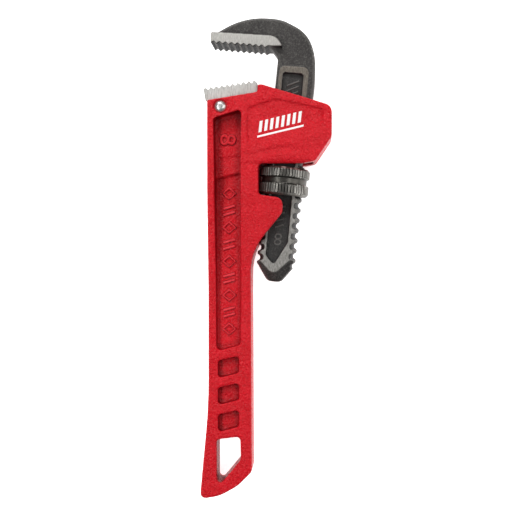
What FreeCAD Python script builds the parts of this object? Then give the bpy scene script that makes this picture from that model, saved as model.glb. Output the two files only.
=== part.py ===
"""Pipe wrench, 8 inch size, lying on its side.

Frame: X points from the jaw mouth to the back of the housing, Y runs along the
handle towards the jaws, Z is up through the thickness. The origin is under the
middle of the bounding box. Lengths are in millimetres, angles in degrees.
"""
import FreeCAD, Part
import math
import os

import Sketcher
from FreeCAD import Placement, Rotation, Vector

doc = FreeCAD.newDocument("pipe_wrench")

# ---------------------------------------------------------------- dimensions

DIMENSIONS = {
    # Half thicknesses, measured from the middle plane of the wrench.
    "middle_height": 9.6,
    "housing_half": 9.0,
    "grip_half": 5.5,
    "web_half": 2.8,
    "upper_web_half": 3.8,
    "top_web_half": 4.2,
    "shank_half": 4.2,
    "forging_half": 3.95,
    "jaw_block_half": 6.4,
    "forged_edge_radius": 1.1,
    "recess_floor": 2.9,
    "window_half": 4.5,
    "panel_depth": 0.5,
    # The hook jaw's shank: its middle at the nut, and its lean from +Y.
    "nut_x": 6.85,
    "nut_y": 29.95,
    "shank_lean": 5.7,
    # Thread of the shank, single start and right hand.
    "thread_pitch": 3.9,
    "thread_crest": 7.5,
    "thread_root": 6.35,
    "thread_clearance": 0.4,
    "crest_place": 1.34,
    "turns_below_nut": 11,
    "thread_turns": 16,
    "nut_thread_turns": 6,
    # How far the shank's flats reach below and above the middle of the nut.
    "flats_below": 45.0,
    "flats_above": 19.6,
    # Adjusting nut.
    "nut_radius": 9.6,
    "nut_height": 10.6,
    "nut_chamfer": 0.9,
    "nut_groove_radius": 8.65,
    "nut_groove_width": 2.0,
    "nut_groove_place": 0.25,
    "nut_relief": 0.6,
    "knurl_count": 51,
    "knurl_depth": 0.35,
    "knurl_half_width": 0.52,
    # Heel jaw and its pin.
    "tang_half": 3.2,
    "tang_radius": 3.45,
    "tang_gap": 0.15,
    "pin_x": -16.85,
    "pin_y": 57.9,
    "pin_radius": 1.6,
    "pin_head_radius": 2.4,
    "pin_head_seat": 7.9,
    "pin_head_rise": 1.4,
    "pin_seat_gap": 0.25,
    "heel_tooth_pitch": 2.07,
    "heel_tooth_depth": 1.15,
    "hook_tooth_pitch": 2.29,
    "hook_tooth_depth": 1.05,
    # Springs in the front wall of the window.
    "window_front": -0.8,
    "window_back": 17.85,
    "spring_recess": 3.4,
    "spring_half": 4.0,
    "spring_gap": 0.4,
    "leaf_thickness": 0.6,
    "coil_y": 50.5,
    "coil_radius": 1.95,
    "coil_wire": 0.35,
    "coil_turns": 5,
    "coil_bore_radius": 2.6,
    "coil_bore_end": 7.4,
    "rivet_y": 41.0,
    "rivet_radius": 1.2,
    "rivet_head_radius": 2.5,
    "rivet_hole_radius": 1.9,
    "rivet_end": 7.8,
    "rivet_bore_end": 7.9,
    # Play of the pin and the rivet in their bores.
    "fit_gap": 0.03,
    # Length of a cut that ends outside the metal.
    "clear_cut": 12.0,
}

sheet = doc.addObject("Spreadsheet::Sheet", "dims")
for row, (alias, value) in enumerate(DIMENSIONS.items(), start=1):
    sheet.set("A%d" % row, alias)
    sheet.set("B%d" % row, str(value))
    sheet.setAlias("B%d" % row, alias)
doc.recompute()


def dim(alias):
    """A driving dimension, read back from the sheet."""
    return float(getattr(sheet, alias))


# ---------------------------------------------------------------- helpers

def origin_plane(body, role):
    """One of the body's own origin planes."""
    return [item for item in body.Origin.OriginFeatures if item.Role == role][0]


def new_sketch(body, name, role, height=None):
    """A sketch on an origin plane of the body, raised by an expression."""
    sketch = body.newObject("Sketcher::SketchObject", name)
    sketch.AttachmentSupport = [(origin_plane(body, role), "")]
    sketch.MapMode = "FlatFace"
    if height is not None:
        sketch.setExpression("AttachmentOffset.Base.z", height)
    return sketch


def rounded_loop(corners):
    """Edges of a closed outline. Each corner is (x, y, radius)."""
    count = len(corners)
    cuts = []
    for index in range(count):
        x, y, radius = corners[index]
        corner = Vector(x, y, 0)
        before = (Vector(*corners[index - 1][:2], 0) - corner).normalize()
        after = (Vector(*corners[(index + 1) % count][:2], 0) - corner).normalize()
        half_angle = before.getAngle(after) / 2
        if radius == 0 or abs(half_angle - math.pi / 2) < 1e-4:
            cuts.append((corner, None, corner))
            continue
        reach = radius / math.tan(half_angle)
        start, end = corner + before * reach, corner + after * reach
        centre = corner + (before + after).normalize() * (radius / math.sin(half_angle))
        first, last = start, end
        if before.cross(after).z > 0:
            first, last = end, start
        angles = [math.atan2(spot.y - centre.y, spot.x - centre.x) for spot in (first, last)]
        arc = Part.ArcOfCircle(Part.Circle(centre, Vector(0, 0, 1), radius), *angles)
        cuts.append((start, arc, end))
    edges = []
    for index in range(count):
        end = cuts[index][2]
        if cuts[index][1] is not None:
            edges.append(cuts[index][1])
        following = cuts[(index + 1) % count][0]
        forward = Vector(*corners[(index + 1) % count][:2], 0) - Vector(*corners[index][:2], 0)
        if (following - end).dot(forward) < -1e-6:
            raise RuntimeError("corner %d and the next are too round" % index)
        if (following - end).Length > 1e-5:
            edges.append(Part.LineSegment(end, following))
    return edges


def draw_loop(sketch, corners):
    """Draws a closed outline and joins its edges end to end."""
    first = sketch.GeometryCount
    edges = rounded_loop(corners)
    for edge in edges:
        sketch.addGeometry(edge)
    for step, edge in enumerate(edges):
        following = (step + 1) % len(edges)
        ends = {(point_of(edge, a) - point_of(edges[following], b)).Length: (a, b)
                for a in (1, 2) for b in (1, 2)}
        here_end, there_end = ends[min(ends)]
        sketch.addConstraint(Sketcher.Constraint(
            "Coincident", first + step, here_end, first + following, there_end))


def point_of(geometry, which):
    """Start point (1) or end point (2) of a sketch edge."""
    return geometry.StartPoint if which == 1 else geometry.EndPoint


def draw_circle(sketch, x, y, radius):
    """A circle whose radius is bound to an expression."""
    index = sketch.addGeometry(Part.Circle(Vector(x, y, 0), Vector(0, 0, 1), 1.0))
    number = sketch.addConstraint(Sketcher.Constraint("Radius", index, 1.0))
    sketch.setExpression("Constraints[%d]" % number, radius)


def rectangle(low_x, low_y, high_x, high_y, radius=0.0):
    """Corners of a rectangle with rounded corners."""
    return [(low_x, low_y, radius), (high_x, low_y, radius),
            (high_x, high_y, radius), (low_x, high_y, radius)]


def add_feature(body, kind, name, sketch, length=None, both_ways=False, reverse=False):
    """A pad or pocket of a sketch. With no length it runs through everything."""
    feature = body.newObject("PartDesign::" + kind, name)
    feature.Profile = sketch
    if both_ways:
        feature.SideType = "Symmetric"
    feature.Reversed = reverse
    if length is None:
        feature.Type = "ThroughAll"
    else:
        feature.setExpression("Length", length)
    sketch.Visibility = False
    volume_before = body.Shape.Volume if body.Shape and not body.Shape.isNull() else 0.0
    doc.recompute()
    grew = body.Shape.Volume - volume_before
    if (kind == "Pad" and grew <= 0) or (kind == "Pocket" and grew >= 0):
        raise RuntimeError("%s changed nothing: %g" % (name, grew))
    return feature


def revolve(body, name, sketch):
    """A full turn of a sketch about its vertical axis."""
    feature = body.newObject("PartDesign::Revolution", name)
    feature.Profile = sketch
    feature.ReferenceAxis = (sketch, ["V_Axis"])
    feature.Angle = 360.0
    sketch.Visibility = False
    doc.recompute()
    return feature


def mirror_over_middle(body, name, features):
    """Repeats features on the other side of the body's own XY plane."""
    mirror = body.newObject("PartDesign::Mirrored", name)
    mirror.Originals = features
    mirror.MirrorPlane = (origin_plane(body, "XY_Plane"), [""])
    body.Tip = mirror
    doc.recompute()
    return mirror


def helix_cut(body, name, sketch, turns):
    """A right-hand thread groove along the body's Z axis."""
    feature = body.newObject("PartDesign::SubtractiveHelix", name)
    feature.Profile = sketch
    feature.ReferenceAxis = (sketch, ["V_Axis"])
    feature.Mode = "pitch-height-angle"
    feature.setExpression("Pitch", "dims.thread_pitch")
    feature.setExpression("Height", turns + " * dims.thread_pitch")
    feature.LeftHanded = False
    sketch.Visibility = False
    body.Tip = feature
    doc.recompute()
    return feature


# ---------------------------------------------------------------- placements

MIDDLE = dim("middle_height")
LEAN = dim("shank_lean")

# On the middle plane, in the wrench's own X and Y.
FLAT_PLACE = Placement(Vector(0, 0, MIDDLE), Rotation())
# Along the shank: local Z runs up the shank, local X points to its back,
# and the local origin is the middle of the nut.
SHANK_TURN = Rotation(Vector(0, 0, 1), -LEAN).multiply(Rotation(Vector(1, 0, 0), -90))
SHANK_PLACE = Placement(Vector(dim("nut_x"), dim("nut_y"), MIDDLE), SHANK_TURN)


# ---------------------------------------------------------------- handle

def build_handle():
    """One casting: the grip, the housing round the shank and the nut's slot."""
    body = doc.addObject("PartDesign::Body", "handle_body")

    outline = new_sketch(body, "handle_outline", "XY_Plane")
    slot_low, slot_high, slot_front = 24.85, 36.5, -2.45
    draw_loop(outline, [
        (-25.36, -92.43, 2.0), (-17.5, -90.95, 14), (-10.5, -86.9, 14), (-5.0, -81.2, 3),
        (-5.5, 3.2, 22), (6.6, 18.1, 4), (6.6, 23.6, 2.8),
        (slot_front, slot_low, 1.2), (slot_front, slot_high, 1.5), (14.5, slot_high, 8),
        (18.9, 37.2, 2), (25.05, 46.4, 2.5), (25.05, 57.85, 3.4),
        (-1.3, 66.0, 1.5), (-2.8, 66.0, 0.4), (-2.8, 63.2, 0.2),
        (-21.95, 60.35, 0.8), (-21.95, -56.0, 200),
    ])
    add_feature(body, "Pad", "handle_blank", outline, "2 * dims.housing_half", both_ways=True)

    # The casting thins from the housing down to the grip, on both sides.
    side = new_sketch(body, "side_outline", "YZ_Plane")
    grip, housing, far = dim("grip_half"), dim("housing_half"), 20.0
    for sign in (1, -1):
        draw_loop(side, [
            (-110, sign * grip, 0), (-12, sign * grip, 40), (27, sign * housing, 25),
            (38, sign * housing, 0), (38, sign * far, 0), (-110, sign * far, 0),
        ])
    add_feature(body, "Pocket", "thin_grip", side, both_ways=True)

    # Long pocket beside the housing: three floors, each lower than the last.
    floors = [
        ("top_web_half", [(-19.2, 36.9, 0.8), (-9.15, 38.3, 0.8),
                          (-9.0, 56.7, 1.2), (-19.45, 53.65, 1.2)]),
        ("upper_web_half", [(-19.1, 29.0, 0.8), (-9.2, 31.4, 0.8),
                            (-9.15, 40.3, 0.8), (-19.2, 38.9, 0.8)]),
        ("web_half", [(-18.7, -34.9, 1.5), (-9.5, -32.4, 1.5),
                      (-9.2, 33.4, 0.8), (-19.1, 31.0, 0.8)]),
    ]
    cuts = []
    for number, (floor, corners) in enumerate(floors):
        sketch = new_sketch(body, "long_pocket_%d_outline" % number, "XY_Plane", "dims." + floor)
        draw_loop(sketch, corners)
        name = "long_pocket_%d" % number
        cuts.append(add_feature(body, "Pocket", name, sketch, "dims.clear_cut", reverse=True))

    # Three square pockets in the lower grip.
    square_pitch = 10.4
    squares = new_sketch(body, "square_pocket_outline", "XY_Plane", "dims.web_half")
    for number in range(3):
        down = number * square_pitch
        draw_loop(squares, [(-18.1, -45.25 - down, 1), (-10.15, -43.1 - down, 1),
                            (-10.15, -36.75 - down, 1), (-18.1, -38.65 - down, 1)])
    cuts.append(add_feature(body, "Pocket", "square_pockets", squares, "dims.clear_cut", reverse=True))

    # Shallow panel on the side of the housing.
    panel = new_sketch(body, "panel_outline", "XY_Plane", "dims.housing_half - dims.panel_depth")
    draw_loop(panel, [(-6.55, 41.2, 1), (21.3, 48.4, 1.2), (22.0, 56.5, 1.5),
                      (4.15, 60.5, 4), (-6.55, 57.4, 1.5)])
    cuts.append(add_feature(body, "Pocket", "panel", panel, "dims.clear_cut", reverse=True))

    # Seats for the domed heads of the heel jaw's pin.
    seats = new_sketch(body, "pin_seat_outline", "XY_Plane", "dims.pin_head_seat")
    draw_circle(seats, dim("pin_x"), dim("pin_y"), "dims.pin_head_radius + dims.pin_seat_gap")
    cuts.append(add_feature(body, "Pocket", "pin_seats", seats, "dims.clear_cut", reverse=True))
    mirror_over_middle(body, "other_side", cuts)

    # Hanging hole, right through.
    hole = new_sketch(body, "hang_hole_outline", "XY_Plane")
    draw_loop(hole, [(-18.6, -69.1, 1), (-18.6, -85.3, 1.2), (-16.9, -85.9, 1.2),
                     (-9.4, -76.6, 3.5), (-9.65, -67.8, 1.3)])
    add_feature(body, "Pocket", "hang_hole", hole, both_ways=True)

    # Window for the shank, open at the slot and at the top of the housing.
    window_half = dim("window_half")
    front, back = dim("window_front"), dim("window_back")
    window = new_sketch(body, "window_outline", "XY_Plane")
    draw_loop(window, rectangle(front, 30, back, 80))
    add_feature(body, "Pocket", "window", window, "2 * dims.window_half", both_ways=True)

    # Channel below the slot, between two cheeks that hide the front thread.
    channel = new_sketch(body, "channel_outline", "XY_Plane")
    draw_loop(channel, [(-4.2, -1, 0), (20, -1, 0), (20, 30, 0), (-1.1, 30, 0)])
    add_feature(body, "Pocket", "shank_channel", channel, "2 * dims.window_half", both_ways=True)

    # Round clearance for the nut in the front wall of the slot.
    relief = new_sketch(body, "nut_relief_outline", "XZ_Plane")
    relief.setExpression("AttachmentOffset.Base.z", "%g" % (-(slot_low + slot_high) / 2))
    draw_circle(relief, dim("nut_x"), 0, "dims.nut_radius + dims.nut_relief")
    relief_length = "%g mm" % (slot_high - slot_low)
    add_feature(body, "Pocket", "nut_relief", relief, relief_length, both_ways=True)

    # Slot for the heel jaw's tang, open at its seat.
    tang = new_sketch(body, "tang_slot_outline", "XY_Plane")
    draw_loop(tang, tang_corners(dim("tang_radius") + dim("tang_gap"), 66.0, 66.0))
    tang_width = "2 * (dims.tang_half + dims.tang_gap)"
    add_feature(body, "Pocket", "tang_slot", tang, tang_width, both_ways=True)
    bore = new_sketch(body, "pin_bore_outline", "XY_Plane")
    draw_circle(bore, dim("pin_x"), dim("pin_y"), "dims.pin_radius + dims.fit_gap")
    add_feature(body, "Pocket", "pin_bore", bore, both_ways=True)

    # Spring recess, coil bore and rivet bore in the front wall of the window.
    recess = new_sketch(body, "spring_recess_outline", "XY_Plane")
    draw_loop(recess, rectangle(-dim("spring_recess"), 37.6, front + 1, 60.6, 0.3))
    recess_width = "2 * (dims.spring_half + dims.spring_gap)"
    add_feature(body, "Pocket", "spring_recess", recess, recess_width, both_ways=True)
    for name, place, radius, depth in (
            ("coil_bore", "coil_y", "dims.coil_bore_radius", "dims.coil_bore_end"),
            ("rivet_bore", "rivet_y", "dims.rivet_radius + dims.fit_gap", "dims.rivet_bore_end")):
        sketch = new_sketch(body, name + "_outline", "YZ_Plane")
        draw_circle(sketch, dim(place), 0, radius)
        add_feature(body, "Pocket", name, sketch, depth)
    body.Placement = FLAT_PLACE
    return body


# ---------------------------------------------------------------- jaws

def tooth_corners(start, end, pitch, depth, side):
    """Corners of a row of teeth from start to end. side turns them up or down."""
    start, end = Vector(*start, 0), Vector(*end, 0)
    along = (end - start).normalize()
    across = Vector(-along.y, along.x, 0) * side
    count = int(round((end - start).Length / pitch))
    step = (end - start).Length / count
    corners = []
    for number in range(count):
        tip = start + along * (number * step)
        gullet = start + along * ((number + 0.5) * step) - across * depth
        corners.append((tip.x, tip.y, 0.18))
        corners.append((gullet.x, gullet.y, 0.12))
    corners.append((end.x, end.y, 0.18))
    return corners


def tang_corners(reach, left_top, right_top):
    """Outline of the heel jaw's tang: round under the pin, straight above it."""
    x, y = dim("pin_x"), dim("pin_y")
    return [(x - reach, y - reach, reach - 0.1), (x + reach, y - reach, reach - 0.1),
            (x + reach, right_top, 0), (x - reach, left_top, 0)]


def build_heel_jaw():
    """Hardened jaw block on a tang that the pin holds in the housing."""
    body = doc.addObject("PartDesign::Body", "heel_jaw")
    block = new_sketch(body, "heel_block_outline", "XY_Plane")
    teeth = tooth_corners((-22.9, 65.55), (-4.3, 68.05),
                          dim("heel_tooth_pitch"), dim("heel_tooth_depth"), 1)
    seat_front, seat_back = (-22.75, 60.26, 0.4), (-3.0, 63.2, 0.3)
    corner_back, corner_front = (-3.1, 66.9, 0.4), (-23.6, 64.8, 0.3)
    draw_loop(block, [seat_front, seat_back, corner_back] + teeth[::-1] + [corner_front])
    add_feature(body, "Pad", "heel_block", block, "2 * dims.jaw_block_half", both_ways=True)
    tang = new_sketch(body, "tang_outline", "XY_Plane")
    draw_loop(tang, tang_corners(dim("tang_radius"), 62.4, 63.4))
    add_feature(body, "Pad", "tang", tang, "2 * dims.tang_half", both_ways=True)
    bore = new_sketch(body, "tang_bore_outline", "XY_Plane")
    draw_circle(bore, dim("pin_x"), dim("pin_y"), "dims.pin_radius + dims.fit_gap")
    add_feature(body, "Pocket", "tang_bore", bore, both_ways=True)
    body.Placement = FLAT_PLACE
    return body


def build_heel_jaw_pin():
    """Riveted pin with a domed head on each side."""
    body = doc.addObject("PartDesign::Body", "heel_jaw_pin")
    sketch = new_sketch(body, "pin_profile", "XZ_Plane")
    shank, head = dim("pin_radius"), dim("pin_head_radius")
    seat = dim("pin_head_seat") + dim("fit_gap")
    top = seat + dim("pin_head_rise")
    crown = 0.73 * head
    draw_loop(sketch, [
        (0, -top, 0), (crown, -top, 2.0), (head, -seat, 0), (shank, -seat, 0),
        (shank, seat, 0), (head, seat, 0), (crown, top, 2.0), (0, top, 0),
    ])
    revolve(body, "pin_turned", sketch)
    body.Placement = Placement(Vector(dim("pin_x"), dim("pin_y"), MIDDLE), Rotation())
    return body


def build_hook_jaw():
    """Forged hook, flat-sided threaded shank and toothed block, in one piece."""
    body = doc.addObject("PartDesign::Body", "hook_jaw")

    # Forged hook and neck. Sketch X points to the back, sketch Y up the shank.
    forging = new_sketch(body, "hook_outline", "XZ_Plane")
    draw_loop(forging, [
        (-7.0, 17.0, 0), (7.5, 17.0, 0), (8.0, 38.0, 60), (7.2, 48.0, 20),
        (3.6, 56.6, 13), (-7.0, 61.1, 16), (-21.0, 60.9, 28), (-31.9, 53.6, 1.4),
        (-31.9, 50.6, 1.4), (-10.6, 50.6, 2.0), (-6.9, 46.6, 4.0),
    ])
    add_feature(body, "Pad", "hook_forging", forging, "2 * dims.forging_half", both_ways=True)
    blank = body.Tip
    rim = dim("forging_half") - 0.01
    rim_edges = []
    for number, edge in enumerate(blank.Shape.Edges, start=1):
        on_a_face = all(abs(vertex.Point.y) > rim for vertex in edge.Vertexes)
        across = edge.BoundBox.YLength > rim
        if on_a_face and not across and edge.BoundBox.ZMax > 20:
            rim_edges.append("Edge%d" % number)
    fillet = body.newObject("PartDesign::Fillet", "forged_edges")
    fillet.Base = (blank, rim_edges)
    fillet.setExpression("Radius", "dims.forged_edge_radius")
    body.Tip = fillet
    doc.recompute()

    # Threaded shank with a rounded nose.
    profile = new_sketch(body, "shank_profile", "XZ_Plane")
    crest = dim("thread_crest")
    draw_loop(profile, [
        (0, -38.5, 0), (2.7, -38.5, 2.6), (crest, -31.7, 1.5), (crest, 19.5, 0), (0, 19.5, 0),
    ])
    revolve(body, "shank_turned", profile)

    pitch, root = dim("thread_pitch"), dim("thread_root")
    groove = new_sketch(body, "thread_groove", "XZ_Plane")
    middle = dim("crest_place") - pitch / 2 - pitch * dim("turns_below_nut")
    draw_loop(groove, [
        (root, middle - 0.6, 0.3), (6.7, middle - 0.95, 0), (7.3, middle - 1.25, 0),
        (8.0, middle - 2.2, 0), (8.0, middle + 2.2, 0), (7.3, middle + 1.25, 0),
        (6.7, middle + 0.95, 0), (root, middle + 0.6, 0.3),
    ])
    helix_cut(body, "thread", groove, "dims.thread_turns")

    # Flats on both sides of the shank.
    flats = new_sketch(body, "flats_outline", "XY_Plane")
    for side in (1, -1):
        draw_loop(flats, rectangle(-12, side * dim("shank_half"), 12, side * 14))
    add_feature(body, "Pocket", "flats_below", flats, "dims.flats_below")
    add_feature(body, "Pocket", "flats_above", flats, "dims.flats_above", reverse=True)

    # Machined pad that slides in the window, up to the neck.
    pad = new_sketch(body, "machined_pad_outline", "XZ_Plane")
    draw_loop(pad, [(-6.0, 17.0, 0), (5.1, 17.0, 0), (5.3, 43.5, 2.2), (-5.9, 43.4, 2.2)])
    add_feature(body, "Pad", "machined_pad", pad, "2 * dims.shank_half", both_ways=True)

    # Toothed block, proud of the forging.
    block = new_sketch(body, "block_outline", "XZ_Plane")
    teeth = tooth_corners((-32.75, 49.1), (-12.1, 49.1),
                          dim("hook_tooth_pitch"), dim("hook_tooth_depth"), -1)
    draw_loop(block, teeth + [(-11.0, 49.9, 0.2), (-5.4, 50.2, 0.3), (-8.0, 54.0, 5.0),
                              (-33.2, 53.5, 0.8)])
    add_feature(body, "Pad", "tooth_block", block, "2 * dims.jaw_block_half", both_ways=True)

    # Long recess in both flats of the shank.
    for side in (1, -1):
        name = "recess_%s" % ("front" if side > 0 else "rear")
        recess = new_sketch(body, name + "_outline", "XZ_Plane", "%d * dims.recess_floor" % side)
        draw_loop(recess, [
            (-3.9, -28.6, 2.0), (-0.6, -31.9, 1.0), (3.85, -22.9, 1.0),
            (3.4, 41.1, 1.0), (-4.4, 41.1, 1.0),
        ])
        add_feature(body, "Pocket", name, recess, "dims.clear_cut", reverse=side > 0)
    body.Placement = SHANK_PLACE
    return body


# ---------------------------------------------------------------- nut

def build_nut():
    """Knurled nut with an internal thread that fits the shank loosely."""
    body = doc.addObject("PartDesign::Body", "adjusting_nut")
    radius, half = dim("nut_radius"), dim("nut_height") / 2
    chamfer, groove_radius = dim("nut_chamfer"), dim("nut_groove_radius")
    groove_low = dim("nut_groove_place") - dim("nut_groove_width") / 2
    groove_high = groove_low + dim("nut_groove_width")
    clearance = dim("thread_clearance")
    bore = dim("thread_root") + clearance
    profile = new_sketch(body, "nut_profile", "XZ_Plane")
    draw_loop(profile, [
        (bore, -half + 0.8, 0), (bore + 0.8, -half, 0), (radius - chamfer, -half, 0.3),
        (radius, -half + chamfer, 0.4), (radius, groove_low - 0.45, 0.3),
        (groove_radius, groove_low, 0.3), (groove_radius, groove_high, 0.3),
        (radius, groove_high + 0.45, 0.3), (radius, half - chamfer, 0.4),
        (radius - chamfer, half, 0.3), (bore + 0.8, half, 0), (bore, half - 0.8, 0),
    ])
    revolve(body, "nut_turned", profile)

    # Internal thread: the shape of the shank's crest, wider by the clearance.
    middle = dim("crest_place") - dim("nut_thread_turns") / 2 * dim("thread_pitch")
    thread = new_sketch(body, "nut_thread_groove", "XZ_Plane")
    crest = dim("thread_crest") + clearance
    draw_loop(thread, [
        (bore - 0.4, middle - 1.55, 0), (crest, middle - 0.95, 0.3),
        (crest, middle + 0.95, 0.3), (bore - 0.4, middle + 1.55, 0),
    ])
    helix_cut(body, "nut_thread", thread, "dims.nut_thread_turns")

    # Straight knurl over both bands.
    vee = new_sketch(body, "knurl_outline", "XY_Plane")
    outside, half_width = radius + 0.3, dim("knurl_half_width")
    draw_loop(vee, [(radius - dim("knurl_depth"), 0, 0), (outside, -half_width, 0),
                    (outside, half_width, 0)])
    knurl = add_feature(body, "Pocket", "knurl", vee, "2 * dims.nut_height", both_ways=True)
    pattern = body.newObject("PartDesign::PolarPattern", "knurl_pattern")
    pattern.Originals = [knurl]
    pattern.Axis = (vee, ["N_Axis"])
    pattern.Angle = 360.0
    pattern.setExpression("Occurrences", "dims.knurl_count")
    body.Tip = pattern
    doc.recompute()
    body.Placement = SHANK_PLACE
    return body


# ---------------------------------------------------------------- springs

def build_leaf_spring():
    """Bent strip that presses the shank back. Its lower end floats on the rivet."""
    body = doc.addObject("PartDesign::Body", "leaf_spring")
    half = dim("leaf_thickness") / 2
    path = [(-2.3, 38.3), (-2.3, 43.2), (0.55, 48.8), (0.62, 52.2), (-1.1, 58.6)]
    left, right = [], []
    for number, (x, y) in enumerate(path):
        here = Vector(x, y, 0)
        directions = []
        if number > 0:
            directions.append((here - Vector(*path[number - 1], 0)).normalize())
        if number < len(path) - 1:
            directions.append((Vector(*path[number + 1], 0) - here).normalize())
        along = directions[0]
        if len(directions) == 2:
            along = (directions[0] + directions[1]).normalize()
        across = Vector(-along.y, along.x, 0) * (half / along.dot(directions[0]))
        bend = 1.5 if len(directions) == 2 else 0.0
        left.append((here.x + across.x, here.y + across.y, bend))
        right.append((here.x - across.x, here.y - across.y, bend))
    strip = new_sketch(body, "leaf_outline", "XY_Plane")
    draw_loop(strip, right + left[::-1])
    add_feature(body, "Pad", "leaf_strip", strip, "2 * dims.spring_half", both_ways=True)
    hole = new_sketch(body, "leaf_hole_outline", "YZ_Plane")
    draw_circle(hole, dim("rivet_y"), 0, "dims.rivet_hole_radius")
    add_feature(body, "Pocket", "leaf_hole", hole, "dims.clear_cut")
    body.Placement = FLAT_PLACE
    return body


def build_rivet():
    """Drive rivet that keeps the leaf spring in the front wall of the window."""
    body = doc.addObject("PartDesign::Body", "spring_rivet")
    shank, head, end = dim("rivet_radius"), dim("rivet_head_radius"), dim("rivet_end")
    profile = new_sketch(body, "rivet_profile", "XZ_Plane")
    draw_loop(profile, [(0, -end, 0), (shank, -end, 0.3), (shank, -1.9, 0), (head, -1.9, 0),
                        (head, -1.5, 0.3), (head - 1.2, -0.95, 1.0), (0, -0.95, 0)])
    revolve(body, "rivet_turned", profile)
    turn = Rotation(Vector(0, 1, 0), 90)
    body.Placement = Placement(Vector(0, dim("rivet_y"), MIDDLE), turn)
    return body


def build_coil_spring():
    """Coil spring between its bore and the back of the leaf spring."""
    wire = dim("coil_wire")
    end_gap, free_end = 0.1, -0.15
    start = dim("coil_bore_end") - wire - end_gap
    length = start + free_end - wire
    helix = doc.addObject("Part::Helix", "coil_path")
    helix.setExpression("Radius", "dims.coil_radius")
    helix.setExpression("Pitch", "%g mm / dims.coil_turns" % length)
    helix.Height = length
    section = doc.addObject("Part::Circle", "coil_section")
    section.setExpression("Radius", "dims.coil_wire")
    section.Placement = Placement(Vector(dim("coil_radius"), 0, 0), Rotation(Vector(1, 0, 0), 90))
    coil = doc.addObject("Part::Sweep", "coil_spring")
    coil.Sections = [section]
    coil.Spine = (helix, ["Edge1"])
    coil.Solid = True
    coil.Frenet = True
    doc.recompute()
    coil.Placement = Placement(Vector(-start, dim("coil_y"), MIDDLE), Rotation(Vector(0, 1, 0), 90))
    return coil


# ---------------------------------------------------------------- output

SUBPARTS = [
    build_handle(), build_heel_jaw(), build_heel_jaw_pin(), build_hook_jaw(),
    build_nut(), build_leaf_spring(), build_coil_spring(), build_rivet(),
]
for subpart in SUBPARTS:
    subpart.Label = subpart.Name
doc.recompute()

for item in doc.Objects:
    if "Invalid" in item.State or "Error" in item.State:
        raise RuntimeError("%s failed: %s" % (item.Name, item.State))
os.makedirs("parts", exist_ok=True)
for subpart in SUBPARTS:
    shape = subpart.Shape
    if shape.isNull() or not shape.isValid() or len(shape.Solids) != 1:
        raise RuntimeError("%s is not one valid solid" % subpart.Label)
    shape.exportStep("parts/%s.step" % subpart.Label)
    box = shape.BoundBox
    print("%-14s %9.1f mm3  x %.2f %.2f  y %.2f %.2f  z %.2f %.2f" % (
        subpart.Label, shape.Volume, box.XMin, box.XMax, box.YMin, box.YMax, box.ZMin, box.ZMax))
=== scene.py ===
import math

import bmesh
import bpy
from mathutils import Matrix, Vector, noise
from mathutils.bvhtree import BVHTree


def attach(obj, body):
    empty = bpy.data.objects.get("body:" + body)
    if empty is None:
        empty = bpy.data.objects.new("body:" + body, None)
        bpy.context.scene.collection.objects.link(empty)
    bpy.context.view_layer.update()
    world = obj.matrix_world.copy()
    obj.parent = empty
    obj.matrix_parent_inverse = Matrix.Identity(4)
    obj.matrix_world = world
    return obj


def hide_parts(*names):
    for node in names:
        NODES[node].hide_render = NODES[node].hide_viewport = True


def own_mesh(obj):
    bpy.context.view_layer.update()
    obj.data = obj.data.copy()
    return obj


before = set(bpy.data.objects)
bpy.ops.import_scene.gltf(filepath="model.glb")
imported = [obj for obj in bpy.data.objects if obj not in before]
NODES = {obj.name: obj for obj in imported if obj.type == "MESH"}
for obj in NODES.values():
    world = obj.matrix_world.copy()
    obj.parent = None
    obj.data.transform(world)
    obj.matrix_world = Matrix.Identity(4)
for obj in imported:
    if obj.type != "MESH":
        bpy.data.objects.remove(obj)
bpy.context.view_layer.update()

MM = 0.001

# The model's middle plane, and half thicknesses measured off it.
MIDDLE = 9.6 * MM
HOUSING_HALF = 9.0 * MM
PANEL_HALF = 8.5 * MM
TOP_WEB_HALF = 4.2 * MM
WEB_HALF = 2.8 * MM
SHANK_HALF = 4.2 * MM
RECESS_HALF = 2.9 * MM
BLOCK_HALF = 6.4 * MM

# The shank's own axes through the middle of the nut: up along it, and across to its back.
NUT_CENTRE = Vector((6.85, 29.95, 9.6)) * MM
LEAN = math.radians(5.7)
UP_SHANK = Vector((math.sin(LEAN), math.cos(LEAN), 0.0))
TO_BACK = Vector((math.cos(LEAN), -math.sin(LEAN), 0.0))


# ---------------------------------------------------------------- camera

def add_camera():
    """Looks straight down on the wrench, a little from its back edge."""
    right = Vector((0.99706, 0.00102, -0.07667))
    up = Vector((-0.00299, 0.99967, -0.02556))
    back = right.cross(up).normalized()
    up = back.cross(right).normalized()
    right.normalize()
    place = Vector((20.69, 7.71, 310.6)) * MM
    data = bpy.data.cameras.new("camera")
    data.lens = 54.0
    data.sensor_width = 36.0
    data.clip_start = 0.01
    camera = bpy.data.objects.new("camera", data)
    turn = Matrix((right, up, back)).transposed().to_4x4()
    camera.matrix_world = Matrix.Translation(place) @ turn
    bpy.context.scene.collection.objects.link(camera)
    bpy.context.scene.camera = camera


add_camera()


# ---------------------------------------------------------------- node helpers

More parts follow.
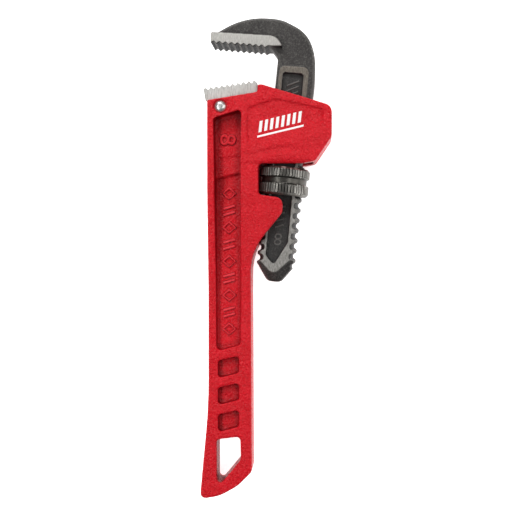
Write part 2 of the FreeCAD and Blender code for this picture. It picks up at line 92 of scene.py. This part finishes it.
class Nodes:
    """Short names for building one material's node tree."""

    def __init__(self, name):
        self.material = bpy.data.materials.new(name)
        self.material.use_nodes = True
        self.tree = self.material.node_tree
        self.shader = self.tree.nodes["Principled BSDF"]
        self.place = self.add("ShaderNodeTexCoord").outputs["Object"]

    def add(self, kind, **settings):
        """A node with its properties and its unlinked inputs set."""
        node = self.tree.nodes.new(kind)
        for key, value in settings.items():
            if hasattr(node, key):
                setattr(node, key, value)
            else:
                self.feed(node.inputs[key.replace("_", " ").title()], value)
        return node

    def feed(self, socket, value):
        """Links an output to a socket, or sets the socket's own value."""
        if isinstance(value, bpy.types.NodeSocket):
            self.tree.links.new(value, socket)
        else:
            socket.default_value = value

    def noise(self, size, detail=2.0, rough=0.5, stretch=None):
        """Noise with features of about that size in metres."""
        place = self.place
        if stretch is not None:
            mapping = self.add("ShaderNodeMapping")
            self.feed(mapping.inputs["Vector"], self.place)
            mapping.inputs["Scale"].default_value = stretch
            place = mapping.outputs["Vector"]
        node = self.add("ShaderNodeTexNoise", detail=detail, roughness=rough, scale=1.0 / size)
        self.feed(node.inputs["Vector"], place)
        return node.outputs["Fac"]

    def grains(self, size):
        """Rounded cells of about that size in metres."""
        node = self.add("ShaderNodeTexVoronoi", scale=1.0 / size)
        self.feed(node.inputs["Vector"], self.place)
        return node.outputs["Distance"]

    def ramp(self, value, low, high, start=0.0, end=1.0):
        """value from low to high becomes start to end, held at both ends."""
        node = self.add("ShaderNodeMapRange", clamp=True)
        for socket, number in zip(("Value", "From Min", "From Max", "To Min", "To Max"),
                                  (value, low, high, start, end)):
            self.feed(node.inputs[socket], number)
        return node.outputs["Result"]

    def math(self, operation, first, second=0.0):
        """Arithmetic on two values."""
        node = self.add("ShaderNodeMath", operation=operation)
        self.feed(node.inputs[0], first)
        self.feed(node.inputs[1], second)
        return node.outputs[0]

    def mix(self, share, first, second):
        """Mixes two colours by share."""
        node = self.add("ShaderNodeMix", data_type="RGBA")
        self.feed(node.inputs[0], share)
        self.feed(node.inputs[6], first)
        self.feed(node.inputs[7], second)
        return node.outputs[2]

    def edges(self):
        """How sharply the surface bends outwards: 0.5 is flat."""
        return self.add("ShaderNodeNewGeometry").outputs["Pointiness"]

    def open_sky(self, reach, only_local=True):
        """1 on an open surface, lower in a corner or beside a wall within reach."""
        node = self.add("ShaderNodeAmbientOcclusion", samples=8, only_local=only_local)
        self.feed(node.inputs["Distance"], reach)
        return node.outputs["AO"]

    def off_middle(self):
        """Distance from the wrench's middle plane."""
        return self.math("ABSOLUTE", self.math("SUBTRACT", self.axis("Z"), MIDDLE))

    def axis(self, which):
        """One coordinate of the object, in metres."""
        node = self.add("ShaderNodeSeparateXYZ")
        self.feed(node.inputs[0], self.place)
        return node.outputs[which]

    def along(self, direction, start):
        """Distance along a direction from a starting point."""
        offset = self.add("ShaderNodeVectorMath", operation="SUBTRACT")
        self.feed(offset.inputs[0], self.place)
        self.feed(offset.inputs[1], start)
        product = self.add("ShaderNodeVectorMath", operation="DOT_PRODUCT")
        self.feed(product.inputs[0], offset.outputs["Vector"])
        self.feed(product.inputs[1], direction)
        return product.outputs["Value"]

    def inside(self, value, low, high, edge):
        """1 where value lies between low and high, fading out over edge."""
        over = self.ramp(value, low, low + edge)
        return self.math("MULTIPLY", over, self.ramp(value, high - edge, high, 1.0, 0.0))

    def bump(self, height, depth, strength, under=None):
        """A bump of that depth in metres, on top of another bump."""
        node = self.add("ShaderNodeBump", distance=depth, strength=strength)
        self.feed(node.inputs["Height"], height)
        if under is not None:
            self.feed(node.inputs["Normal"], under)
        return node.outputs["Normal"]

    def finish(self, **sockets):
        """Sets the shader's sockets and returns the material."""
        for name, value in sockets.items():
            self.feed(self.shader.inputs[name.replace("_", " ")], value)
        return self.material


def colour(red, green, blue):
    """An opaque colour."""
    return (red, green, blue, 1.0)


# ---------------------------------------------------------------- materials

def red_paint(name, foot=None, height=0.0):
    """Gloss enamel over a sand-cast skin, with painted shade in its corners, deep holes and dents,
    painted glints on its specks and a painted highlight on its edges.

    Raised marks give the place of their foot, off the middle plane, and their height:
    their lower half gets painted shade, like the painted shade in the corner round them.
    """
    n = Nodes(name)
    broad = n.noise(6 * MM, detail=3.0)
    skin = n.noise(0.70 * MM, detail=3.0, rough=0.6)
    pits = n.ramp(n.grains(0.9 * MM), 0.0, 0.75)
    tone = n.mix(n.ramp(broad, 0.3, 0.7), colour(0.56, 0.0022, 0.009), colour(0.64, 0.0035, 0.013))
    # Lighter specks on the skin: painted glints.
    glint_specked = n.mix(n.ramp(skin, 0.55, 0.68, 0.0, 0.65), tone, colour(0.84, 0.022, 0.038))
    # Darker where the skin sinks: the cast skin's dents, with painted shade in them.
    dent_shaded = n.mix(n.ramp(skin, 0.30, 0.44, 0.5, 0.0), glint_specked, colour(0.40, 0.001, 0.006))
    if foot is None:
        # Painted shade in corners and beside walls, and in deep holes.
        corners = n.ramp(n.open_sky(2.4 * MM), 0.45, 0.95, 0.88, 0.0)
        hole_shade = n.ramp(n.open_sky(14 * MM), 0.45, 0.62, 0.9, 0.0)
        painted_shade = n.math("MAXIMUM", corners, hole_shade)
    else:
        # Painted shade on the lower half of a raised mark, like the painted shade in the corner round
        # its foot.
        painted_shade = n.ramp(n.off_middle(), foot + 0.5 * height, foot + 0.82 * height, 0.95, 0.0)
    # Lighter pink-red on outward edges: painted highlight.
    edge_highlit = n.mix(n.ramp(n.edges(), 0.52, 0.60, 0.0, 0.5), dent_shaded, colour(0.90, 0.070, 0.090))
    shaded = n.mix(painted_shade, edge_highlit, colour(0.15, 0.0002, 0.0015))
    surface = n.bump(skin, 0.60 * MM, 0.9)
    surface = n.bump(pits, 0.30 * MM, 0.5, surface)
    surface = n.bump(broad, 0.40 * MM, 0.5, surface)
    rough = n.ramp(skin, 0.3, 0.7, 0.28, 0.42)
    return n.finish(Base_Color=shaded, Roughness=rough, Normal=surface, Specular_IOR_Level=0.24)


def blasted_steel():
    """Light hardened steel, blasted, with upright marks from cutting the teeth."""
    n = Nodes("blasted_steel")
    lines = n.noise(1.6 * MM, detail=4.0, rough=0.7, stretch=(4.0, 0.5, 1.0))
    broad = n.noise(5 * MM)
    fine = n.noise(0.5 * MM, detail=3.0)
    tone = n.mix(n.ramp(broad, 0.3, 0.7), colour(0.46, 0.455, 0.43), colour(0.60, 0.60, 0.575))
    lined = n.mix(n.ramp(lines, 0.46, 0.66, 0.0, 0.85), tone, colour(0.30, 0.29, 0.27))
    # Painted shade in corners and beside walls.
    corners = n.ramp(n.open_sky(1.2 * MM), 0.4, 0.9, 0.85, 0.0)
    shaded = n.mix(corners, lined, colour(0.20, 0.19, 0.175))
    surface = n.bump(lines, 0.20 * MM, 0.6)
    surface = n.bump(fine, 0.10 * MM, 0.5, surface)
    rough = n.ramp(lines, 0.3, 0.7, 0.42, 0.58)
    return n.finish(Base_Color=shaded, Metallic=0.25, Roughness=rough, Normal=surface)


def forged_skin(n):
    """Colour, bump and roughness of an oxidised forging: dark grey, rubbed lighter on its edges."""
    broad = n.noise(7 * MM, detail=3.0)
    fine = n.noise(0.55 * MM, detail=3.0, rough=0.65)
    tone = n.mix(n.ramp(broad, 0.3, 0.7), colour(0.019, 0.017, 0.016), colour(0.035, 0.032, 0.030))
    skin = n.mix(n.ramp(fine, 0.47, 0.72, 0.0, 0.7), tone, colour(0.125, 0.118, 0.11))
    rubbed = n.mix(n.ramp(n.edges(), 0.505, 0.54, 0.0, 0.7), skin, colour(0.22, 0.21, 0.195))
    # Painted shade in corners and beside walls.
    corners = n.ramp(n.open_sky(2.0 * MM), 0.45, 0.92, 0.95, 0.0)
    shaded = n.mix(corners, rubbed, colour(0.008, 0.007, 0.0065))
    surface = n.bump(fine, 0.22 * MM, 0.8)
    surface = n.bump(broad, 0.4 * MM, 0.5, surface)
    return shaded, surface, n.ramp(fine, 0.3, 0.7, 0.38, 0.56)


def hook_steel():
    """Dark forged skin, with ground flats on the shank and on the tooth block."""
    n = Nodes("forged_hook")
    black = colour(0.002, 0.002, 0.002)
    skin, surface, rough = forged_skin(n)

    # The flats, ground lengthwise, are darker and browner above the nut than below it.
    scratched = n.noise(1.6 * MM, detail=4.0, rough=0.7, stretch=(5.0, 1.0, 5.0))
    scratches = n.ramp(scratched, 0.35, 0.7)
    upper = n.ramp(n.axis("Y"), 30 * MM, 50 * MM)
    dull = n.mix(upper, colour(0.15, 0.143, 0.132), colour(0.088, 0.077, 0.064))
    bright = n.mix(upper, colour(0.40, 0.39, 0.365), colour(0.215, 0.190, 0.158))
    shank_flat = n.mix(scratches, dull, bright)
    block_flat = n.mix(scratches, colour(0.33, 0.318, 0.297), colour(0.52, 0.51, 0.48))
    facing = n.add("ShaderNodeSeparateXYZ")
    n.feed(facing.inputs[0], n.add("ShaderNodeNewGeometry").outputs["Normal"])
    flat = n.ramp(n.math("ABSOLUTE", facing.outputs["Z"]), 0.88, 0.97)
    shank_level = n.ramp(n.off_middle(), SHANK_HALF - 0.14 * MM, SHANK_HALF - 0.08 * MM)
    block_level = n.ramp(n.off_middle(), BLOCK_HALF - 0.3 * MM, BLOCK_HALF - 0.1 * MM)
    on_shank = n.math("MULTIPLY", flat, shank_level)
    on_block = n.math("MULTIPLY", flat, block_level)
    ground = n.mix(on_block, n.mix(on_shank, skin, shank_flat), block_flat)

    # Under the block, what faces down gets painted light and shade: what faces the back is painted
    # black as shade, and what faces the mouth is painted grey as light from that side.
    downward = n.ramp(facing.outputs["Y"], -0.55, -0.25, 1.0, 0.0)
    under = n.math("MULTIPLY", downward, n.ramp(n.axis("Y"), 72 * MM, 73 * MM))
    flank_light_and_shade = n.mix(n.ramp(facing.outputs["X"], -0.2, 0.2), colour(0.075, 0.072, 0.067), black)
    toothed = n.mix(under, ground, flank_light_and_shade)

    # The long recess in each flat gets painted shade: darker all over, and black in its corners.
    across = n.inside(n.along(TO_BACK, NUT_CENTRE), -4.75 * MM, 4.75 * MM, 0.1 * MM)
    up = n.inside(n.along(UP_SHANK, NUT_CENTRE), -32.5 * MM, 42.0 * MM, 0.1 * MM)
    low = n.ramp(n.off_middle(), SHANK_HALF - 0.45 * MM, SHANK_HALF - 0.3 * MM, 1.0, 0.0)
    recess = n.math("MULTIPLY", n.math("MULTIPLY", across, up), low)
    corner = n.ramp(n.open_sky(1.6 * MM), 0.6, 0.92, 1.0, 0.4)
    tone = n.mix(n.math("MULTIPLY", recess, corner), toothed, black)

    above = n.ramp(under, 0.0, 1.0, 1.0, 0.0)
    metal = n.math("MULTIPLY", n.ramp(on_shank, 0.0, 1.0, 0.35, 0.6), above)
    # Less shine under the block, so that its painted shade stays dark.
    shine = n.ramp(under, 0.0, 1.0, 0.5, 0.1)
    return n.finish(Base_Color=tone, Metallic=metal, Roughness=rough, Normal=surface,
                    Specular_IOR_Level=shine)


def stamped_skin():
    """The forged skin on the raised marks inside the shank's recess."""
    n = Nodes("stamped_skin")
    skin, surface, rough = forged_skin(n)
    darker = n.mix(0.45, skin, colour(0.02, 0.019, 0.018))
    return n.finish(Base_Color=darker, Metallic=0.35, Roughness=rough, Normal=surface)


def black_oxide():
    """Black oxide on turned and knurled steel, worn bright on its outer edges with a painted highlight
    on them, and with painted shade in its corners.
    """
    n = Nodes("black_oxide")
    fine = n.noise(0.6 * MM, detail=3.0, rough=0.65)
    broad = n.noise(4 * MM)
    tone = n.mix(n.ramp(broad, 0.3, 0.7), colour(0.050, 0.047, 0.041), colour(0.095, 0.089, 0.079))
    # Lighter on outward edges: the oxide worn bright there, with a painted highlight on it.
    worn_and_highlit = n.mix(n.ramp(n.edges(), 0.52, 0.58, 0.0, 0.9), tone, colour(0.60, 0.58, 0.54))
    # Painted shade in corners and grooves.
    corners = n.ramp(n.open_sky(1.2 * MM), 0.5, 0.92, 0.95, 0.0)
    shaded = n.mix(corners, worn_and_highlit, colour(0.008, 0.0075, 0.007))
    surface = n.bump(fine, 0.04 * MM, 0.5)
    rough = n.ramp(fine, 0.3, 0.7, 0.26, 0.40)
    return n.finish(Base_Color=shaded, Metallic=0.85, Roughness=rough, Normal=surface)


def polished_pin():
    """Bright plated pin with a faintly uneven shine."""
    n = Nodes("polished_pin")
    fine = n.noise(0.8 * MM, detail=2.0)
    tone = n.mix(n.ramp(fine, 0.4, 0.7), colour(0.62, 0.61, 0.59), colour(0.74, 0.73, 0.71))
    rough = n.ramp(fine, 0.3, 0.7, 0.34, 0.42)
    surface = n.bump(fine, 0.02 * MM, 0.4)
    return n.finish(Base_Color=tone, Metallic=1.0, Roughness=rough, Normal=surface)


def spring_wire():
    """Oiled spring steel."""
    n = Nodes("spring_wire")
    fine = n.noise(1.0 * MM, detail=3.0)
    tone = n.mix(n.ramp(fine, 0.3, 0.7), colour(0.22, 0.22, 0.23), colour(0.36, 0.36, 0.36))
    rough = n.ramp(fine, 0.3, 0.7, 0.26, 0.40)
    surface = n.bump(fine, 0.02 * MM, 0.4)
    return n.finish(Base_Color=tone, Metallic=0.9, Roughness=rough, Normal=surface)


def white_ink():
    """Printed white ink, laid on so sparingly that a little of the red shows through."""
    n = Nodes("white_ink")
    fine = n.noise(0.9 * MM, detail=3.0)
    tone = n.mix(n.ramp(fine, 0.55, 0.8, 0.0, 0.5), colour(0.90, 0.88, 0.87), colour(0.82, 0.68, 0.68))
    return n.finish(Base_Color=tone, Roughness=0.5, Normal=n.bump(fine, 0.05 * MM, 0.5))


def pale_floor():
    """Plain pale floor that glows white as painted light, its glow held back in narrow gaps and right
    under the wrench as a painted shadow.
    """
    n = Nodes("pale_floor")
    # Painted light and shadow: the floor glows where it is open, and the glow fades away under the
    # wrench and in narrow gaps.
    glow = n.ramp(n.open_sky(8 * MM, False), 0.2, 0.4, 0.0, 1.0)
    tone = n.mix(n.noise(60 * MM), colour(0.79, 0.79, 0.79), colour(0.81, 0.81, 0.81))
    white = colour(1.0, 1.0, 1.0)
    return n.finish(Base_Color=tone, Roughness=0.9, Emission_Color=white, Emission_Strength=glow)


# ---------------------------------------------------------------- mesh helpers

def coat(mesh, material):
    """Gives the mesh one material in place of any others."""
    mesh.materials.clear()
    mesh.materials.append(material)


def new_piece(name, mesh, material, body):
    """Adds a mesh as a piece of the wrench that rides on a body."""
    piece = bpy.data.objects.new(name, mesh)
    bpy.context.scene.collection.objects.link(piece)
    coat(mesh, material)
    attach(piece, body)
    return piece


def evaluated(mesh, *modifiers):
    """The mesh after modifiers, each given as (kind, settings)."""
    carrier = bpy.data.objects.new("carrier", mesh)
    bpy.context.scene.collection.objects.link(carrier)
    for kind, settings in modifiers:
        modifier = carrier.modifiers.new(kind.lower(), kind)
        for key, value in settings.items():
            setattr(modifier, key, value)
    depsgraph = bpy.context.evaluated_depsgraph_get()
    result = bpy.data.meshes.new_from_object(carrier.evaluated_get(depsgraph))
    bpy.data.objects.remove(carrier)
    return result


def remade(node, voxel, passes, reshape=None):
    """A copy of a CAD node's mesh with even faces and softly rounded edges."""
    source = NODES[node].data.copy()
    build = bmesh.new()
    build.from_mesh(source)
    bmesh.ops.remove_doubles(build, verts=build.verts, dist=0.002 * MM)
    build.to_mesh(source)
    build.free()
    remesh = {"mode": "VOXEL", "voxel_size": voxel, "use_smooth_shade": True}
    even = evaluated(source, ("REMESH", remesh))
    if reshape is not None:
        reshape(even)
    return evaluated(even, ("SMOOTH", {"factor": 0.5, "iterations": passes}))


def roughen(mesh, size, depth):
    """Sinks the surface by up to depth, in dents of about that size."""
    normals = [vertex.normal.copy() for vertex in mesh.vertices]
    for vertex, normal in zip(mesh.vertices, normals):
        share = 0.5 + 0.5 * noise.noise(vertex.co / size)
        vertex.co -= normal * (depth * min(max(share, 0.0), 1.0))
    mesh.update()


def between(value, stops):
    """Straight-line value between (position, value) stops, held at both ends."""
    if value <= stops[0][0]:
        return stops[0][1]
    for (low, first), (high, second) in zip(stops, stops[1:]):
        if value <= high:
            return first + (second - first) * (value - low) / (high - low)
    return stops[-1][1]


def panel_floor(place):
    """How far the panel's floor lies from the middle plane: deep at its top, running out below."""
    low_edge = Vector((-6.55, 41.2, 0)) * MM
    rise = Vector((-7.2, 27.85, 0)).normalized()
    slope_length, slope_depth = 4.5 * MM, 0.52 * MM
    share = min(max((place - low_edge).dot(rise) / slope_length, 0.0), 1.0)
    return HOUSING_HALF - 0.12 * MM - slope_depth * share


def in_panel(place):
    """Whether a point of the casting lies on the floor of a panel of the housing."""
    near_floor = -0.2 * MM < abs(place.z - MIDDLE) - PANEL_HALF < 0.3 * MM
    return near_floor and 40 * MM < place.y < 61 * MM and place.x > -7 * MM


def shape_housing(mesh):
    """Gives the housing's sides their cast lip along the nut's slot, and slopes the panels."""
    edge = 36.3 * MM
    crest_points = [(-8.5, 36.9), (-2.8, 38.1), (2.6, 39.4), (8.5, 40.0),
                    (11.0, 39.7), (16.0, 38.6), (21.0, 37.6)]
    crest_line = [(x * MM, y * MM) for x, y in crest_points]
    front, back = crest_line[0][0], crest_line[-1][0]
    valley_depths = [(front, 0.0), (0.0, 0.60 * MM), (10 * MM, 0.60 * MM), (16 * MM, 0.0)]
    valley_width = 4 * MM
    for vertex in mesh.vertices:
        place = vertex.co
        off = place.z - MIDDLE
        if in_panel(place):
            place.z = MIDDLE + math.copysign(panel_floor(place), off)
            continue
        crest = between(place.x, crest_line)
        if not (front < place.x < back and edge - 0.5 * MM < place.y < crest + valley_width):
            continue
        if place.y < crest:
            # The lip rolls over into the slot as a quarter of an ellipse.
            width = crest - edge
            share = 1 - min(max((place.y - edge) / width, 0.0), 1.0)
            drop = 0.5 * width * (1 - math.sqrt(1 - share * share))
        else:
            # A shallow valley sets the lip off from the side above it.
            wave = math.sin(math.pi * (place.y - crest) / valley_width) ** 2
            drop = between(place.x, valley_depths) * wave
        limit = HOUSING_HALF - drop
        if abs(off) > limit:
            place.z = MIDDLE + math.copysign(limit, off)
    mesh.update()


def shape_nose(mesh):
    """Rounds off the flats of the shank's nose outside a blunt V."""
    tip = Vector((-0.4, -35.6)) * MM
    nose_length, thinnest = 10 * MM, 0.5 * MM
    slope, bend = 0.62, 2.5 * MM
    back_turn, front_turn = math.radians(48), math.radians(42)
    back_side = Vector((math.sin(back_turn), -math.cos(back_turn)))
    front_side = Vector((-math.sin(front_turn), -math.cos(front_turn)))
    for vertex in mesh.vertices:
        from_nut = vertex.co - NUT_CENTRE
        spot = Vector((from_nut.dot(TO_BACK), from_nut.dot(UP_SHANK))) - tip
        if spot.y > nose_length:
            continue
        past_back = max(spot.dot(back_side) + bend, 0.0)
        past_front = max(spot.dot(front_side) + bend, 0.0)
        beyond = math.hypot(past_back, past_front) - bend
        off = vertex.co.z - MIDDLE
        limit = max(SHANK_HALF - slope * beyond, thinnest)
        if beyond > 0 and abs(off) > limit:
            vertex.co.z = MIDDLE + math.copysign(limit, off)
    mesh.update()


def raised_lines(name, strokes, radius, height, floor):
    """Ridges on both sides of the wrench. Each stroke is (points, closed).

    The floor that they stand on is given by its distance from the middle plane.
    """
    build = bmesh.new()
    for side in (1, -1):
        curve = bpy.data.curves.new("strokes", "CURVE")
        curve.dimensions = "3D"
        curve.bevel_depth = radius
        curve.bevel_resolution = 3
        curve.use_fill_caps = True
        for points, closed in strokes:
            spline = curve.splines.new("POLY")
            spline.points.add(len(points) - 1)
            for point, (x, y) in zip(spline.points, points):
                point.co = (x, y, 0.0, 1.0)
            spline.use_cyclic_u = closed
        carrier = bpy.data.objects.new("carrier", curve)
        bpy.context.scene.collection.objects.link(carrier)
        depsgraph = bpy.context.evaluated_depsgraph_get()
        mesh = bpy.data.meshes.new_from_object(carrier.evaluated_get(depsgraph))
        bpy.data.objects.remove(carrier)
        flatten = Matrix.Diagonal((1.0, 1.0, height / radius, 1.0))
        mesh.transform(Matrix.Translation((0, 0, MIDDLE + side * floor)) @ flatten)
        build.from_mesh(mesh)
    for face in build.faces:
        face.smooth = True
    result = bpy.data.meshes.new(name)
    build.to_mesh(result)
    build.free()
    return result


def ring(x, y, wide, tall, count):
    """Points of an ellipse."""
    turns = [2 * math.pi * step / count for step in range(count)]
    return [(x + wide * math.cos(turn), y + tall * math.sin(turn)) for turn in turns]


def on_shank(across, up):
    """A point of the shank in the wrench's own X and Y, from millimetres across and up it."""
    place = NUT_CENTRE + TO_BACK * (across * MM) + UP_SHANK * (up * MM)
    return place.x, place.y


def bar_shapes():
    """Slanted bars over one long bar, each as (left, right, low, high)."""
    count, width, pitch, low, high = 8, 1.15 * MM, 2.15 * MM, -1.3 * MM, 2.7 * MM
    starts = [(number - count / 2) * pitch for number in range(count)]
    long_bar = (-8.9 * MM, 8.9 * MM, -3.1 * MM, -2.4 * MM)
    return [(start, start + width, low, high) for start in starts] + [long_bar]


def printed_bars(surface):
    """Plain bars laid on the panel of the housing, as a fine skin that follows the surface."""
    centre = Vector((6.1, 51.3, 0)) * MM
    tilt, slant = math.radians(13), 0.35
    along = Vector((math.cos(tilt), math.sin(tilt), 0))
    across = Vector((-math.sin(tilt), math.cos(tilt), 0))
    ink, step, above = 0.03 * MM, 0.4 * MM, 30 * MM
    points = [vertex.co for vertex in surface.vertices]
    tree = BVHTree.FromPolygons(points, [face.vertices for face in surface.polygons])
    build = bmesh.new()
    for left, right, low, high in bar_shapes():
        columns = max(4, int((right - left) / step))
        rows = max(3, int((high - low) / step))
        grid = []
        for row in range(rows + 1):
            up = low + (high - low) * row / rows
            line = []
            for column in range(columns + 1):
                side = left + (right - left) * column / columns + slant * up
                spot = centre + along * side + across * up
                hit = tree.ray_cast(Vector((spot.x, spot.y, above)), Vector((0, 0, -1)))[0]
                line.append(build.verts.new((spot.x, spot.y, hit.z + ink)))
            grid.append(line)
        for lower, upper in zip(grid, grid[1:]):
            for column in range(columns):
                face = build.faces.new((lower[column], lower[column + 1],
                                        upper[column + 1], upper[column]))
                face.smooth = True
    mesh = bpy.data.meshes.new("panel_print")
    build.to_mesh(mesh)
    build.free()
    return mesh


# ---------------------------------------------------------------- casting

cast_mesh = remade("handle_body", 0.45 * MM, 5, shape_housing)
roughen(cast_mesh, 1.1 * MM, 0.07 * MM)
casting = new_piece("casting", cast_mesh, red_paint("red_enamel"), "handle")
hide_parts("handle_body")

# Raised size number on the top web: an 8 turned on its side.
MARK_HEIGHT = 0.60 * MM
number_x, number_y = -14.4 * MM, 45.85 * MM
loops = [(ring(number_x - 1.35 * MM, number_y, 1.25 * MM, 1.65 * MM, 28), True),
         (ring(number_x + 1.35 * MM, number_y, 1.25 * MM, 1.5 * MM, 28), True)]
size_number = raised_lines("size_number", loops, 0.74 * MM, MARK_HEIGHT, TOP_WEB_HALF)
number_paint = red_paint("number_enamel", TOP_WEB_HALF, MARK_HEIGHT)
new_piece("size_number", size_number, number_paint, "handle")

# Raised row on the long web: diamonds, with a pair of bars between each two.
row_x, row_top, row_pitch, row_count = -14.1 * MM, 25.5 * MM, 6.5 * MM, 9
diamond_wide, diamond_tall = 2.3 * MM, 2.0 * MM
bar_wide, bar_rise, bar_shift = 2.2 * MM, 0.6 * MM, 1.2 * MM
strokes = []
for number in range(row_count):
    y = row_top - number * row_pitch
    if number % 2 == 0:
        strokes.append(([(row_x - diamond_wide, y), (row_x, y + diamond_tall),
                         (row_x + diamond_wide, y), (row_x, y - diamond_tall)], True))
    else:
        for shift in (-bar_shift, bar_shift):
            strokes.append(([(row_x - bar_wide, y + shift - bar_rise),
                             (row_x + bar_wide, y + shift + bar_rise)], False))
web_marks = raised_lines("web_marks", strokes, 0.64 * MM, MARK_HEIGHT, WEB_HALF)
marks_paint = red_paint("marks_enamel", WEB_HALF, MARK_HEIGHT)
new_piece("web_marks", web_marks, marks_paint, "handle")

new_piece("panel_print", printed_bars(cast_mesh), white_ink(), "handle")


# ---------------------------------------------------------------- hook, heel and small parts

hook_mesh = remade("hook_jaw", 0.30 * MM, 2, shape_nose)
hook = new_piece("forged_hook", hook_mesh, hook_steel(), "hook")
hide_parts("hook_jaw")

# Size number, four bars and three longer bars, raised in the shank's recess.
marks = []
for up in (-23.2, -21.0):
    marks.append((ring(*on_shank(0.0, up), 1.15 * MM, 0.95 * MM, 20), True))
for up in (-17.0, -14.6, -12.2, -9.8):
    marks.append(([on_shank(-1.6, up - 0.6), on_shank(1.6, up + 0.6)], False))
for up in (33.2, 35.2, 37.2):
    marks.append(([on_shank(-2.4, up - 0.9), on_shank(2.0, up + 1.2)], False))
recess_marks = raised_lines("recess_marks", marks, 0.36 * MM, 0.32 * MM, RECESS_HALF)
new_piece("recess_marks", recess_marks, stamped_skin(), "hook")

heel_mesh = remade("heel_jaw", 0.18 * MM, 2)
heel = new_piece("heel_block", heel_mesh, blasted_steel(), "handle")
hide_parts("heel_jaw")

SPRING = spring_wire()
for node, material in (("heel_jaw_pin", polished_pin()), ("adjusting_nut", black_oxide()),
                       ("spring_rivet", SPRING)):
    coat(NODES[node].data, material)

# Each spring is copied into a piece of its own that rides on its body.
# The leaf's lower end is trimmed a little, so that it clears the cast corner below it.
leaf_end = 38.85 * MM
for name, node, body, held_x, kept in (("pressed_leaf", "leaf_spring", "rocker", 0.9 * MM, 0.82),
                                       ("pressed_coil", "coil_spring", "handle", -7.3 * MM, 0.83)):
    mesh = NODES[node].data.copy()
    for vertex in mesh.vertices:
        vertex.co.y = max(vertex.co.y, leaf_end)
    spring = new_piece(name, mesh, SPRING, body)
    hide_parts(node)
    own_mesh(spring)


# ---------------------------------------------------------------- surroundings

def add_floor():
    """A pale floor under the wrench."""
    half = 3.0
    mesh = bpy.data.meshes.new("floor")
    corners = [(-half, -half, 0), (half, -half, 0), (half, half, 0), (-half, half, 0)]
    mesh.from_pydata(corners, [], [(0, 1, 2, 3)])
    mesh.materials.append(pale_floor())
    floor = bpy.data.objects.new("floor", mesh)
    bpy.context.scene.collection.objects.link(floor)


def add_light(name, place, wide, tall, power):
    """A soft oblong light that faces the wrench, its tall side along the wrench."""
    data = bpy.data.lights.new(name, "AREA")
    data.shape = "RECTANGLE"
    data.size = wide
    data.size_y = tall
    data.energy = power
    light = bpy.data.objects.new(name, data)
    back = (Vector(place) - Vector((0.0, 0.0, 0.01))).normalized()
    side = Vector((0, 1, 0)).cross(back).normalized()
    turn = Matrix((side, back.cross(side), back)).transposed().to_4x4()
    light.matrix_world = Matrix.Translation(place) @ turn
    bpy.context.scene.collection.objects.link(light)


def add_world(strength):
    """Even white light from all round."""
    world = bpy.data.worlds.new("studio")
    world.use_nodes = True
    background = world.node_tree.nodes["Background"]
    background.inputs["Color"].default_value = colour(1.0, 1.0, 1.0)
    background.inputs["Strength"].default_value = strength
    bpy.context.scene.world = world


add_floor()
add_world(0.16)
add_light("key", (-0.20, 0.80, 0.62), 0.45, 0.3, 5.8)
add_light("left_strip", (-0.50, -0.10, 0.80), 0.16, 0.9, 4.1)
add_light("right_strip", (0.46, 0.10, 0.82), 0.12, 0.9, 2.0)
add_light("fill", (0.90, 0.15, 0.50), 0.6, 0.6, 2.4)
bpy.context.scene.view_settings.view_transform = "Standard"
